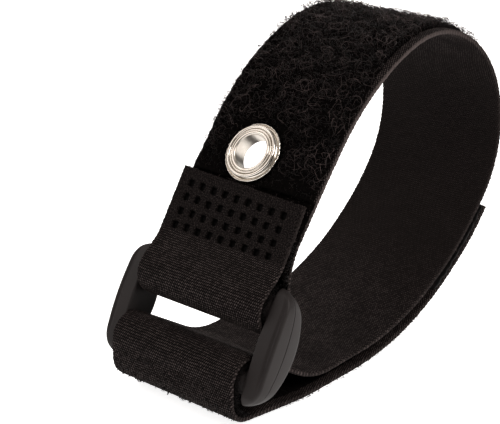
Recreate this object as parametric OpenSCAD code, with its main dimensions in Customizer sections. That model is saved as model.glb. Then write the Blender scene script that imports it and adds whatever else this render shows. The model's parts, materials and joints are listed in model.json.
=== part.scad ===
// Hook-and-loop wrist strap, cinched into a ring: one woven strap sewn of a plain side and a pile side,
// folded over the top bar of a moulded ring buckle and welded back on itself, pierced by a metal eyelet,
// led round the loop, through the lower slot of the buckle, and back along its own outside.
//
// X is the wrist axis and the strap's width. The strap's path lies in the YZ plane, +Z up. The origin is
// under the middle of the object, on the face that the folded-back tail rests on.
//
// A route is a list of moves [size, turn]: a straight of that length where the turn is 0, and otherwise an
// arc of that radius that turns by that many degrees, to the left where positive. A state is
// [point, heading] on the middle of the webbing. The pile side is on the left of every route.

/* [Strap] */
// Width of the strap
strap_w = 25.4; // [22.4:0.2:25.6]
// Thickness of the woven backing
web_t = 0.9; // [0.7:0.05:1.0]
// Height of the loop pile where nothing presses on it
pile_t = 1.1; // [0.7:0.05:1.3]
// Height of the loop pile where it is pressed
pressed_t = 0.65; // [0.4:0.05:0.7]
// Thickness of the hook tab at the end of the tail
hook_t = 0.43; // [0.3:0.01:0.45]
// Clear gap between the tail and the band that it grips
grip_gap = 0.12; // [0.1:0.01:0.2]
// Radius of the strap's middle where it wraps a buckle bar
wrap_r = 3.5; // [3.45:0.05:3.7]

/* [Welded flap] */
// Number of weld spots across the strap
weld_cols = 9; // [5:1:10]
// Number of weld rows along the strap
weld_rows = 4; // [2:1:4]
// Distance from one weld spot to the next
weld_pitch = 2.42; // [1.8:0.02:2.42]
// Width of a weld spot
weld_w = 0.95; // [0.6:0.05:1.2]
// Depth of a weld spot below the face of the flap
weld_depth = 0.5; // [0.2:0.05:0.6]

/* [Eyelet] */
// Radius of the hole through the eyelet
eyelet_r = 2.85; // [2:0.05:3]
// Wall of the eyelet's barrel
barrel_wall = 0.3; // [0.2:0.05:0.4]
// Outer radius of the rolled rim
rim_r = 4.15; // [3.8:0.05:4.2]
// Outer radius of the washer and of the flange
washer_r = 5; // [4.5:0.05:5]
// Sideways place of the eyelet from the middle of the strap
eyelet_x = -2.05; // [-3:0.05:3]
// Distance of the eyelet from the end of the flap
eyelet_reach = 5.1; // [5.1:0.05:6]

/* [Buckle] */
// Radius of each bar
bar_r = 2.3; // [1.8:0.05:2.35]
// Clear width of the slot between the side arms
slot_w = 26; // [25.5:0.25:30]
// Width of one side arm
arm_w = 3.5; // [2.5:0.25:4.5]
// Height of a side arm, past both bars
arm_h = 18.5; // [17:0.5:20]
// How far a side arm stands out in front of the bars' middles
arm_front = 2.3; // [2:0.1:2.8]
// How far a side arm bulges towards the wrist
arm_back = 4; // [3:0.1:4.5]
// Corner radius of the buckle seen from the front
arm_corner = 3; // [1:0.25:3.25]

/* [Hidden] */
$fn = 96;
half_web = web_t / 2;
// Clear break in the webbing at each hinge of the tail
hinge_break = 0.3;
// Clear cuts that end the pile short of the neighbouring pieces
pile_end = 0.3;
// Clear gap round the eyelet's flange, barrel and washer in the strap, and of the washer on the barrel
seat_gap = 0.05;
ring_gap = 0.02;
// Length of a weld spot along the strap
weld_l = weld_w * 1.15;
// Depth of the block that the buckle's arms are cut from, and what the ends of their profile lose
arm_block = 20;
arm_trim = 0.3;
// How far the pile inside the flap's wrap follows its last bend
wrap_pile_turn = 20;

// Direction up the straight front of the band, in degrees from +Y
front_turn = 51;
// Where the end of the flap stands
flap_end = [-18.05, 32.81];

// The flap lies on the band, leaves it, and wraps the top bar
flap_moves = [[10.9, 0], [8, -13], [3.6, 0]];
anchor_wrap = [[wrap_r, 239], [12, -46]];
// Up the front, over the top, down the back and along the bottom, to the slot
front_length = 14.8;
crown_moves = [[39.5, -34], [19, -32], [23.7, -42.5], [18.7, -72.5]];
heel_r = 47.8;
heel_turn = 50;
flat_length = 6.8;
lead_moves = [[14.25, -32], [10.5, 0]];
// Over the lower bar, down its front and back to the floor
fold_lead = 1.5;
fold_over = 122;
fold_under = 84;
// From the fold to the hinge of the tail, and on down to the floor
fold_run = 3.2;
landing = [[8.8, 0], [60, 6]];
// The tail follows the band's heel, one stack of layers further out
stack = web_t + pressed_t + grip_gap + hook_t;
tail_turn = 49;
tip_turn = 25;

// A unit vector along a heading, and the one to its left
function along(h) = [cos(h), sin(h)];
function left(h) = [-sin(h), cos(h)];

// Centre of the arc that a move describes from a state
function arc_centre(s, m) = s[0] + sign(m[1]) * m[0] * left(s[1]);

// State after one move, and after a list of moves
function step(s, m) = m[1] == 0
    ? [s[0] + m[0] * along(s[1]), s[1]]
    : [arc_centre(s, m) - sign(m[1]) * m[0] * left(s[1] + m[1]), s[1] + m[1]];
function go(s, moves, i = 0) = i == len(moves) ? s : go(step(s, moves[i]), moves, i + 1);

// States along one move, close enough that an arc stays smooth, and along a whole route
function cuts(m) = m[1] == 0 ? 1 : ceil(max(abs(m[1]) / 15, m[0] * abs(m[1]) * PI / 180 / 1.3));
function states(s, m) = [for (i = [0:cuts(m) - 1]) i == 0 ? s : step(s, [m[0], m[1] * i / cuts(m)])];
function trace(s, moves, i = 0) = i == len(moves) ? [s]
    : concat(states(s, moves[i]), trace(step(s, moves[i]), moves, i + 1));

// A layer of the strap: the band between two sideways offsets of a route, extruded over the width
module layer(s, moves, low, high, width = strap_w) {
    path = trace(s, moves);
    last = len(path) - 1;
    rotate([90, 0, 90])
        linear_extrude(width, center = true)
            polygon([for (q = path) q[0] + low * left(q[1]),
                     for (i = [last:-1:0]) path[i][0] + high * left(path[i][1])]);
}

// States where the pieces of the strap begin
at_flap = [flap_end, front_turn + 180];
at_wrap = go(at_flap, flap_moves);
at_front = go(at_wrap, anchor_wrap);
at_crown = step(at_front, [front_length, 0]);
at_heel = go(at_crown, crown_moves);
at_flat = step(at_heel, [heel_r, -heel_turn]);
at_lead = step(at_flat, [flat_length, 0]);
at_fold = go(at_lead, lead_moves);
at_over = step(at_fold, [fold_lead, 0]);
at_drop = step(at_over, [wrap_r, fold_over]);

// The fold drops by what brings the tail down to the floor
free_fold = go(at_drop, concat([[wrap_r, fold_under], [fold_run, 0]], landing));
fold_moves = [[fold_lead, 0], [wrap_r, fold_over], [free_fold[0][1] - half_web, 0],
              [wrap_r, fold_under], [fold_run, 0]];
at_tail = go(at_fold, fold_moves);
at_floor = go(at_tail, landing);
heel_moves = [[at_flat[0][0] - at_floor[0][0], 0], [heel_r + stack, tail_turn - tip_turn]];
at_tip = go(at_floor, heel_moves);
tip_moves = [[heel_r + stack, tip_turn]];

// How far the band lies under the flap, middle to middle, and how far up the front the flap ends
flap_lift = (at_front[0] - flap_end) * left(at_flap[1]);
flap_run = (flap_end - at_front[0]) * along(front_turn);

bar_top = arc_centre(at_wrap, anchor_wrap[0]);
bar_low = arc_centre(at_over, [wrap_r, fold_over]);

// Middle of a weld spot: x across the strap, and the distance from the end of the flap
weld_edge = 2.4;
weld_xs = [for (c = [0:weld_cols - 1]) (c - (weld_cols - 1) / 2) * weld_pitch - 0.3];
weld_runs = [for (r = [0:weld_rows - 1]) weld_edge + r * weld_pitch];

// Places a child with its X across the strap, its Y up the flap and its Z out of the flap's face
module on_flap(x, run) {
    p = step(at_flap, [run, 0])[0] + half_web * -left(at_flap[1]);
    translate([x, p[0], p[1]])
        rotate([front_turn, 0, 0])
            children();
}

// Places a child with its Z along the eyelet's axis, out of the loop, and its origin mid webbing
module on_eyelet() {
    p = step(at_front, [flap_run + eyelet_reach, 0])[0];
    translate([eyelet_x, p[0], p[1]])
        rotate([front_turn, 0, 0])
            children();
}

// Hole for the eyelet's barrel, with a seat for its flange on one side and for the washer on the other
module eyelet_cut() {
    deep = 6;
    on_eyelet() {
        cylinder(r = eyelet_r + barrel_wall + seat_gap, h = 2 * deep, center = true);
        translate([0, 0, -half_web - deep])
            cylinder(r = washer_r + seat_gap, h = deep);
        translate([0, 0, half_web + pressed_t])
            cylinder(r = washer_r + seat_gap, h = deep);
    }
}

// The flap, and its wrap over the top bar up to the front of the band
module strap_anchor() {
    color([0.13, 0.12, 0.12])
        difference() {
            union() {
                layer(at_flap, flap_moves, -half_web, half_web);
                layer(at_wrap, anchor_wrap, -half_web, half_web);
            }
            for (x = weld_xs, run = weld_runs)
                on_flap(x, run)
                    cube([weld_w, weld_l, 4 * web_t], center = true);
        }
}

// The long band round the wrist
module strap_band() {
    color([0.10, 0.09, 0.09])
        difference() {
            layer(at_front, concat([[front_length, 0]], crown_moves, [[heel_r, -heel_turn], [flat_length, 0]],
                  lead_moves), -half_web, half_web);
            eyelet_cut();
        }
}

// Loop pile on the outside of the band, free over the top and pressed under the tail
module band_pile() {
    start = step(at_front, [flap_run + pile_end, 0]);
    rest = front_length - flap_run - pile_end;
    color([0.07, 0.05, 0.05])
        difference() {
            union() {
                layer(start, concat([[rest, 0]], crown_moves), half_web, half_web + pile_t);
                layer(at_heel, concat([[heel_r, -heel_turn], [flat_length, 0]], lead_moves),
                      half_web, half_web + pressed_t);
            }
            eyelet_cut();
        }
}

// Loop pile inside the flap's fold, round the top bar
module anchor_pile() {
    color([0.07, 0.05, 0.05])
        layer(go(at_flap, [flap_moves[0], flap_moves[1]]), [flap_moves[2], anchor_wrap[0],
              [anchor_wrap[1][0], -wrap_pile_turn]], half_web, half_web + pressed_t);
}

// Fused spots that hold the flap to the band
module weld_spots() {
    depth = flap_lift - weld_depth;
    color([0.05, 0.04, 0.04])
        for (x = weld_xs, run = weld_runs)
            on_flap(x, run)
                translate([0, 0, -weld_depth - depth / 2])
                    cube([weld_w, weld_l, depth], center = true);
}

// Barrel with a flat flange inside the loop and a rim rolled over outside it
module eyelet() {
    flange_t = 0.35;
    roll_r = (rim_r - eyelet_r) / 2;
    seat = half_web + pressed_t + flange_t;
    color([0.80, 0.79, 0.76])
        on_eyelet()
            rotate_extrude()
                union() {
                    translate([eyelet_r, -half_web - flange_t])
                        square([washer_r - eyelet_r, flange_t]);
                    translate([eyelet_r, -half_web - flange_t])
                        square([barrel_wall, seat + half_web + flange_t]);
                    translate([eyelet_r + roll_r, seat])
                        intersection() {
                            circle(r = roll_r);
                            translate([-roll_r, 0])
                                square([2 * roll_r, roll_r]);
                        }
                }
}

// Ring under the rolled rim, with a sloped edge, seated in the pile
module eyelet_washer() {
    washer_t = 0.35;
    edge_t = 0.15;
    slope = 0.5;
    bore_r = eyelet_r + barrel_wall + ring_gap;
    color([0.72, 0.71, 0.69])
        on_eyelet()
            translate([0, 0, half_web + pressed_t])
                rotate_extrude()
                    polygon([[bore_r, 0], [washer_r, 0], [washer_r, edge_t],
                             [washer_r - slope, washer_t], [bore_r, washer_t]]);
}

// Side profile of an arm in [front to back, up] axes, with its middle between the bars
module arm_profile() {
    back_r = (arm_h * arm_h / 4 + arm_back * arm_back) / (2 * arm_back);
    front_bow = 60;
    intersection() {
        translate([arm_back - back_r, 0])
            circle(r = back_r);
        translate([front_bow - arm_front, 0])
            circle(r = front_bow);
        square([arm_block, arm_h - 2 * arm_trim], center = true);
    }
}

// Rounded rectangle from plain squares and circles
module rounded_plate(w, h, r) {
    square([w - 2 * r, h], center = true);
    square([w, h - 2 * r], center = true);
    for (x = [-1, 1], y = [-1, 1])
        translate([x * (w / 2 - r), y * (h / 2 - r)])
            circle(r = r);
}

// Moulded ring: two arms with a curved back, joined by two round bars
module buckle_frame() {
    rise = bar_top - bar_low;
    lean = atan2(rise[1], rise[0]) - 90;
    middle = (bar_top + bar_low) / 2;
    width = slot_w + 2 * arm_w;
    color([0.24, 0.22, 0.22]) {
        translate([0, middle[0], middle[1]])
            rotate([lean, 0, 0])
                difference() {
                    intersection() {
                        rotate([90, 0, 90])
                            linear_extrude(width, center = true)
                                arm_profile();
                        rotate([90, 0, 0])
                            linear_extrude(arm_block, center = true)
                                rounded_plate(width, arm_h, arm_corner);
                    }
                    cube([slot_w, arm_block, arm_h + 2], center = true);
                }
        for (bar = [bar_top, bar_low])
            translate([0, bar[0], bar[1]])
                rotate([0, 90, 0])
                    cylinder(r = bar_r, h = slot_w + arm_w, center = true);
    }
}

// The strap's fold over the lower bar
module strap_fold() {
    color([0.11, 0.10, 0.10])
        layer(step(at_fold, [hinge_break, 0]), concat([[fold_lead - hinge_break, 0]],
              [for (i = [1:len(fold_moves) - 1]) fold_moves[i]]), -half_web, half_web);
}

// Loop pile inside that fold
module fold_pile() {
    color([0.07, 0.05, 0.05])
        layer(at_over, [for (i = [1:3]) fold_moves[i]], half_web, half_web + pressed_t);
}

// The folded-back tail, up to the hook tab
module strap_tail() {
    color([0.11, 0.10, 0.10])
        layer(at_tail, concat(landing, heel_moves), -half_web, half_web);
}

// Loop pile on the tail, pressed against the band
module tail_pile() {
    color([0.07, 0.05, 0.05])
        layer(step(at_tail, [pile_end, 0]), concat([[landing[0][0] - pile_end, 0], landing[1]], heel_moves),
              half_web, half_web + hook_t);
}

// The last stretch of the tail
module strap_tip() {
    color([0.11, 0.10, 0.10])
        layer(at_tip, tip_moves, -half_web, half_web);
}

// The patch of hooks on the tip
module hook_tab() {
    color([0.05, 0.05, 0.05])
        layer(at_tip, tip_moves, half_web, half_web + hook_t);
}

strap_anchor();
strap_band();
band_pile();
anchor_pile();
weld_spots();
eyelet();
eyelet_washer();
buckle_frame();
strap_fold();
fold_pile();
strap_tail();
tail_pile();
strap_tip();
hook_tab();
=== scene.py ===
import json
import math

import bpy
import numpy as np
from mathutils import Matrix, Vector


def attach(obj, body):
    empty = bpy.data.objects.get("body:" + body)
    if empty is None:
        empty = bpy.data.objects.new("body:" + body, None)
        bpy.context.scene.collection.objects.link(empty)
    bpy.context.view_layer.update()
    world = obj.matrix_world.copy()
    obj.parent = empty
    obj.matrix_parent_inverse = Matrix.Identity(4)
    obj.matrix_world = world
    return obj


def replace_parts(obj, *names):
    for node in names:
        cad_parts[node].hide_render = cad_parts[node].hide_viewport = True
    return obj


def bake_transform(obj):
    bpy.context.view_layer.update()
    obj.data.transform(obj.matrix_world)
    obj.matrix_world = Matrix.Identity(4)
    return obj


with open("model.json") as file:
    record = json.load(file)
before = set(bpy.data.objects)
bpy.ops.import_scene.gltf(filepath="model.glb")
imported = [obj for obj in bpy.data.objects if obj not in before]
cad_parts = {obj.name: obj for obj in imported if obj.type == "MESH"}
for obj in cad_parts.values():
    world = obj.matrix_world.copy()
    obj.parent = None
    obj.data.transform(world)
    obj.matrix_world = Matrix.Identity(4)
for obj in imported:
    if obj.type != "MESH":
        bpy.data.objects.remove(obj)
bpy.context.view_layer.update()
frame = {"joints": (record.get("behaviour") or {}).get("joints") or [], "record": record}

MM = 0.001
JOINTS = {j["name"]: j for j in frame["joints"]}
MOUNTS = {m["name"]: m for m in frame["record"]["mounts"]}


# ---------------------------------------------------------------- camera, light and floor
SOFT_LIGHT = (1.0, 0.93, 0.90)
FLOOR_HALF, FLOOR_GAP = 3.0, 0.00002


def make_camera():
    azimuth, elevation, distance = math.radians(40.66), math.radians(21.6), 0.255
    back = Vector((math.sin(azimuth) * math.cos(elevation),
                   -math.cos(azimuth) * math.cos(elevation),
                   math.sin(elevation)))
    target = Vector((-9.0, -7.4, 22.7)) * MM
    data = bpy.data.cameras.new("camera")
    data.lens = 110
    data.sensor_width = 36
    data.clip_start = 0.01
    camera = bpy.data.objects.new("camera", data)
    camera.location = target + back * distance
    camera.rotation_euler = back.to_track_quat("Z", "Y").to_euler()
    bpy.context.scene.collection.objects.link(camera)
    bpy.context.scene.camera = camera


def make_area(name, place, aim, size, watts):
    data = bpy.data.lights.new(name, "AREA")
    data.shape = "DISK"
    data.size = size
    data.energy = watts
    data.color = SOFT_LIGHT
    light = bpy.data.objects.new(name, data)
    light.location = place
    light.rotation_euler = (Vector(place) - Vector(aim)).to_track_quat("Z", "Y").to_euler()
    bpy.context.scene.collection.objects.link(light)


def studio_world():
    """Plain studio: a pale ceiling that fades to grey walls."""
    world = bpy.data.worlds.new("studio")
    world.use_nodes = True
    tree = world.node_tree
    place_in = tree.nodes.new("ShaderNodeTexCoord")
    split = tree.nodes.new("ShaderNodeSeparateXYZ")
    fade = tree.nodes.new("ShaderNodeMapRange")
    tree.links.new(place_in.outputs["Generated"], split.inputs[0])
    tree.links.new(split.outputs["Z"], fade.inputs["Value"])
    for name, value in (("From Min", 0.0), ("From Max", 0.9), ("To Min", 0.06), ("To Max", 0.50)):
        fade.inputs[name].default_value = value
    tree.links.new(fade.outputs[0], tree.nodes["Background"].inputs["Strength"])
    tree.nodes["Background"].inputs["Color"].default_value = (1.0, 0.95, 0.93, 1)
    return world


def make_studio():
    scene = bpy.context.scene
    scene.view_settings.view_transform = "Standard"
    scene.world = studio_world()
    middle = (0, 0, 0.025)
    make_area("key", (0.36, 0.02, 0.36), middle, size=0.30, watts=1.7)
    make_area("front", (-0.31, -0.285, 0.36), middle, size=0.50, watts=1.05)
    make_area("rim", (-0.24, 0.34, 0.30), middle, size=0.30, watts=1.2)
    corners = np.array([(-1, -1, 0), (1, -1, 0), (1, 1, 0), (-1, 1, 0)])
    floor = add_mesh("floor", FLOOR_HALF * corners, np.array([[0, 1, 2, 3]]), smooth=False)
    floor.location.z = -FLOOR_GAP
    floor.data.materials.append(floor_material())


# ---------------------------------------------------------------- mesh helpers
def add_mesh(name, points, quads, tris=None, smooth=True):
    """A mesh from arrays: points (n, 3) in metres, quads (m, 4) and triangles (k, 3)."""
    mesh = bpy.data.meshes.new(name)
    tris = np.zeros((0, 3), int) if tris is None else tris
    loops = np.concatenate([quads.reshape(-1), tris.reshape(-1)]).astype(np.int32)
    sizes = np.concatenate([np.full(len(quads), 4), np.full(len(tris), 3)]).astype(np.int32)
    starts = np.concatenate([[0], np.cumsum(sizes)[:-1]]).astype(np.int32)
    mesh.vertices.add(len(points))
    mesh.vertices.foreach_set("co", np.asarray(points, np.float32).reshape(-1))
    mesh.loops.add(len(loops))
    mesh.loops.foreach_set("vertex_index", loops)
    mesh.polygons.add(len(sizes))
    mesh.polygons.foreach_set("loop_start", starts)
    mesh.polygons.foreach_set("use_smooth", np.full(len(sizes), smooth))
    mesh.update(calc_edges=True)
    piece = bpy.data.objects.new(name, mesh)
    bpy.context.scene.collection.objects.link(piece)
    return piece


def closed_tube(rings, flip):
    """Points, quads and end triangles of a tube from its rings (m, k, 3). flip turns its faces round."""
    m, k = rings.shape[:2]
    points = rings.reshape(-1, 3)
    i, j = np.meshgrid(np.arange(m - 1), np.arange(k), indexing="ij")
    here, over = i * k + j, i * k + (j + 1) % k
    quads = np.stack([here, over, over + k, here + k], -1).reshape(-1, 4)
    around, last = np.arange(k), (m - 1) * k
    after = np.roll(around, -1)
    low = np.column_stack([after, around, np.full(k, m * k)])
    high = np.column_stack([around + last, after + last, np.full(k, m * k + 1)])
    tris = np.vstack([low, high])
    if flip:
        quads, tris = quads[:, ::-1], tris[:, ::-1]
    return np.vstack([points, points[:k].mean(0), points[-k:].mean(0)]), quads, tris


def open_rim(quads):
    """The directed edges that only one of the quads has."""
    edges = np.concatenate([quads[:, [q, (q + 1) % 4]] for q in range(4)])
    key = edges[:, 0] * (edges.max() + 1) + edges[:, 1]
    back = edges[:, 1] * (edges.max() + 1) + edges[:, 0]
    return edges[~np.isin(key, back)]


def set_attribute(piece, name, values):
    values = np.asarray(values, np.float32)
    kind = "FLOAT_VECTOR" if values.ndim == 2 else "FLOAT"
    attribute = piece.data.attributes.new(name, kind, "POINT")
    attribute.data.foreach_set("vector" if values.ndim == 2 else "value", values.reshape(-1))


def smooth_step(t):
    t = np.clip(t, 0, 1)
    return t * t * (3 - 2 * t)


def wobble(*coordinates, seed=0):
    """Smooth noise, about -1 to 1, from a few sines of unrelated pitch over the given coordinates."""
    draw = np.random.default_rng(seed)
    total = 0
    for _ in range(6):
        phase = draw.uniform(0, 2 * np.pi)
        total = total + np.sin(sum(c * draw.normal(0, 1) for c in coordinates) + phase)
    return total / 3


# ---------------------------------------------------------------- the strap's route
STRAP_W, WEB_T, PILE_T, PRESSED_T, HOOK_T = 25.4, 0.9, 1.1, 0.65, 0.43
HALF_W, HALF_T = STRAP_W / 2, WEB_T / 2
GRIP_GAP, WRAP_R, FRONT_TURN = 0.12, 3.5, 51.0
STACK = WEB_T + PRESSED_T + GRIP_GAP + HOOK_T
HEEL_R, FLAT = 47.8, 6.8


def turned(h):
    return np.stack([-np.sin(np.radians(h)), np.cos(np.radians(h))], -1)


class Route:
    """Straights [length, 0] and arcs [radius, turn in degrees, left positive], one after another."""

    def __init__(self, point, heading, moves):
        self.starts, self.lengths, self.moves = [], [], []
        point, heading = np.array(point, float), float(heading)
        for size, turn in moves:
            self.starts.append((point, heading))
            self.moves.append((size, turn))
            self.lengths.append(size if turn == 0 else size * abs(math.radians(turn)))
            point, heading = self._along(len(self.moves) - 1, np.array([self.lengths[-1]]))
            point, heading = point[0], float(heading[0])
        self.ends = np.concatenate([[0], np.cumsum(self.lengths)])
        self.end = (point, heading)

    def _along(self, i, run):
        (point, heading), (size, turn) = self.starts[i], self.moves[i]
        if turn == 0:
            way = np.array([math.cos(math.radians(heading)), math.sin(math.radians(heading))])
            return point + run[:, None] * way, np.full(len(run), heading)
        sign = math.copysign(1, turn)
        centre = point + sign * size * turned(heading)
        now = heading + sign * np.degrees(run / size)
        return centre - sign * size * turned(now), now

    def at(self, run):
        """Points (n, 2) and headings (n) at these distances along the route."""
        run = np.asarray(run, float)
        which = np.clip(np.searchsorted(self.ends, run, side="right") - 1, 0, len(self.moves) - 1)
        points, headings = np.zeros((len(run), 2)), np.zeros(len(run))
        for i in np.unique(which):
            chosen = which == i
            points[chosen], headings[chosen] = self._along(i, run[chosen] - self.ends[i])
        return points, headings


def arc_centre(point, heading, radius):
    return np.asarray(point) + radius * turned(heading)


# The route is laid out from the end of the flap, then moved so that its top wrap is round the top bar
FLAP = [(10.9, 0), (8, -13), (3.6, 0)]
WRAP = [(WRAP_R, 239), (12, -46)]
FRONT = [(14.8, 0)]
CROWN = [(39.5, -34), (19, -32), (23.7, -42.5), (18.7, -72.5)]
HEEL = [(HEEL_R, -50), (FLAT, 0)]
LEAD = [(14.25, -32), (12.0, 0)]
OVER = [(WRAP_R, 122)]
UNDER = [(WRAP_R, 84), (3.2, 0)]
LANDING = [(8.8, 0), (60, 6)]
TAIL_TURN, TIP_TURN = 24, 25


def lay_route():
    bar = np.array(JOINTS["buckle_swing"]["pos_m"][1:]) / MM
    loose = Route((0, 0), FRONT_TURN + 180, FLAP)
    start = bar - arc_centre(*loose.end, WRAP_R)
    first = FLAP + WRAP + FRONT + CROWN + HEEL + LEAD + OVER
    half = Route(start, FRONT_TURN + 180, first)
    free = Route(*half.end, UNDER + LANDING)
    # The strap runs straight down from the low bar, far enough for its tail to land flat on the floor
    drop = free.end[0][1] - HALF_T
    landed = Route(*half.end, [(drop, 0)] + UNDER + LANDING)
    heel_y = Route(start, FRONT_TURN + 180, FLAP + WRAP + FRONT + CROWN + HEEL[:1]).end[0][0]
    level = heel_y - landed.end[0][0]
    parts = {"flap": FLAP, "wrap": WRAP, "front": FRONT, "crown": CROWN, "heel": HEEL, "lead": LEAD,
             "over": OVER, "under": [(drop, 0)] + UNDER, "landing": LANDING,
             "tail": [(level, 0), (HEEL_R + STACK, TAIL_TURN)], "tip": [(HEEL_R + STACK, TIP_TURN)]}
    marks, run = {}, 0.0
    for name, moves in parts.items():
        marks[name] = run
        run += sum(size if turn == 0 else size * abs(math.radians(turn)) for size, turn in moves)
    marks["end"] = run
    return Route(start, FRONT_TURN + 180, [m for moves in parts.values() for m in moves]), marks


ROUTE, MARK = lay_route()
# The flap's lean fades out by this run. Lean and droop are slopes, the shift of the lower fold is in mm
FLAP_TURNS_BY = 13.0
FLAP_LEAN, FLAP_DROOP, FOLD_SHIFT = 0.065, 0.034, 0.42


def sway(run, x):
    """The strap isn't laid quite straight: its welded flap leans and its lower fold sits to one side."""
    left = np.clip((FLAP_TURNS_BY - run) / FLAP_TURNS_BY, 0, 1)
    aside = smooth_step((run - MARK["lead"]) / 14) * (1 - smooth_step((run - MARK["under"] - 4) / 16))
    shifted = x - FLAP_LEAN * FLAP_TURNS_BY * left ** 1.3 - FOLD_SHIFT * aside
    return run + FLAP_DROOP * (x + HALF_W) * smooth_step(1.35 * left), shifted


def place(run, x, n):
    """Points in metres at run along the strap, x across it, and n out of its middle to the pile side."""
    run, x, n = np.broadcast_arrays(run, x, n)
    run, x = sway(run, x)
    points, headings = ROUTE.at(run.reshape(-1))
    side = points + n.reshape(-1)[:, None] * turned(headings)
    return np.column_stack([x.reshape(-1), side]) * MM


def directions(run):
    """Unit vectors along the strap and out of its pile side at these runs."""
    _, headings = ROUTE.at(run)
    zero = np.zeros(len(run))
    ahead = np.column_stack([zero, np.cos(np.radians(headings)), np.sin(np.radians(headings))])
    out = np.column_stack([zero, turned(headings)])
    return ahead, out


# The eyelet's centre and axis, its run along the band, and the run of the band under the flap's end
EYELET = Vector(MOUNTS["eyelet_hole"]["pos_m"]) / MM
EYELET_AXIS = Vector(MOUNTS["eyelet_hole"]["axis"]).normalized()
FRONT_START, _ = ROUTE.at(np.array([MARK["front"]]))
EYELET_RUN = MARK["front"] + float(np.hypot(*(np.array([EYELET.y, EYELET.z]) - FRONT_START[0])))
FLAP_END_RUN = EYELET_RUN - 5.1
HOLE_R, WASHER_R = MOUNTS["eyelet_hole"]["dims"]["r_mm"], 5.0
# Runs where one piece of the strap, or of its pile, ends and the next begins
FLAP_TO, PILE_TO = MARK["wrap"] - 3.8, MARK["heel"] + 1.0
FOLD_TO, TAIL_FROM = MARK["landing"] - 2.6, MARK["landing"] + 3.6
TIP_BEND_FROM, TIP_BEND_TO = MARK["tip"] - 3.0, MARK["tip"] + 3.0


# ---------------------------------------------------------------- webbing
# Pitch of the weft ribs along the strap and of the floats across it, and points along a rib
RIB, DASH, STEPS_PER_RIB = 0.40, 0.36, 4


def web_ring(columns):
    """Cross-section of the webbing as (x, n): plain face, rounded edge, pile face, rounded edge."""
    edge_points = 5
    flat = HALF_W - HALF_T
    plain = np.column_stack([np.linspace(-flat, flat, columns), np.full(columns, -HALF_T)])
    angle = np.radians(np.linspace(-90, 90, edge_points + 2)[1:-1])
    edge = np.column_stack([flat + HALF_T * np.cos(angle), HALF_T * np.sin(angle)])
    back = np.column_stack([np.linspace(flat, -flat, 25), np.full(25, HALF_T)])
    return np.concatenate([plain, edge, back, edge[::-1] * [-1, 1]])


def web_piece(name, low, high, columns=25, shape=None):
    """A closed stretch of webbing with its weft ribs, from run low to run high. shape moves (run, x, n)."""
    count = max(4, int(round((high - low) / (RIB / STEPS_PER_RIB))))
    run = np.linspace(low, high, count + 1)
    ring = web_ring(columns)
    s, x = np.meshgrid(run, ring[:, 0], indexing="ij")
    n = np.broadcast_to(ring[:, 1], s.shape).copy()
    side = n / HALF_T
    edge = smooth_step((np.abs(x) - (HALF_W - 1.0)) / 0.9)
    n -= side * 0.028 * np.cos(2 * np.pi * s / RIB) * (1 - 0.5 * edge)
    x = x + np.sign(x) * edge * (0.035 * np.cos(np.pi * s / RIB) + 0.05 * wobble(s * 0.9, seed=3))
    weld, pit = np.zeros_like(s), np.zeros_like(s)
    if shape is not None:
        n, weld, pit = shape(s, x, n)
    rings = place(s, x, n).reshape(len(run), len(ring), 3)
    piece = add_mesh(name, *closed_tube(rings, flip=True))
    # The last two rows of each attribute are for the middles of the end caps
    laid = np.column_stack([v.reshape(-1) for v in (s, x, side)])
    set_attribute(piece, "strap_mm", np.vstack([laid, [(run[0], 0, 0), (run[-1], 0, 0)]]))
    set_attribute(piece, "weld", np.append(weld, [0, 0]))
    set_attribute(piece, "pit", np.append(pit, [0, 0]))
    piece.data.materials.append(WEBBING)
    return piece


# The grid of welds: its pitch, the width and depth of a spot, and the run of the first row
WELD_PITCH, WELD_W, WELD_DEPTH, WELD_EDGE = 2.42, 0.95, 0.5, 2.4
WELD_XS = (np.arange(9) - 4) * WELD_PITCH - 0.3
WELD_RUNS = WELD_EDGE + np.arange(4) * WELD_PITCH


def weld_shape(s, x, n):
    """Presses the weld spots into the plain face of the flap, and flattens the weave between them."""
    jitter = 0.05 * wobble(s * 0.7, x * 0.7, seed=4)
    across = np.min(np.abs(x[..., None] - WELD_XS), -1)
    along = np.min(np.abs((s + jitter)[..., None] - WELD_RUNS), -1)
    reach = np.hypot(np.maximum(across - 0.22, 0), np.maximum(along - 0.27, 0))
    pit = smooth_step((0.46 - reach) / 0.24)
    plain = n < -HALF_T * 0.8
    zone = smooth_step((WELD_RUNS[-1] + 1.3 - s) / 0.8)
    sunk = 0.06 * zone + (WELD_DEPTH + 0.15) * pit + 0.04 * zone * wobble(s * 4, x * 4, seed=9)
    return np.where(plain, n + sunk, n), zone, np.where(plain, pit, 0)


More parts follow.
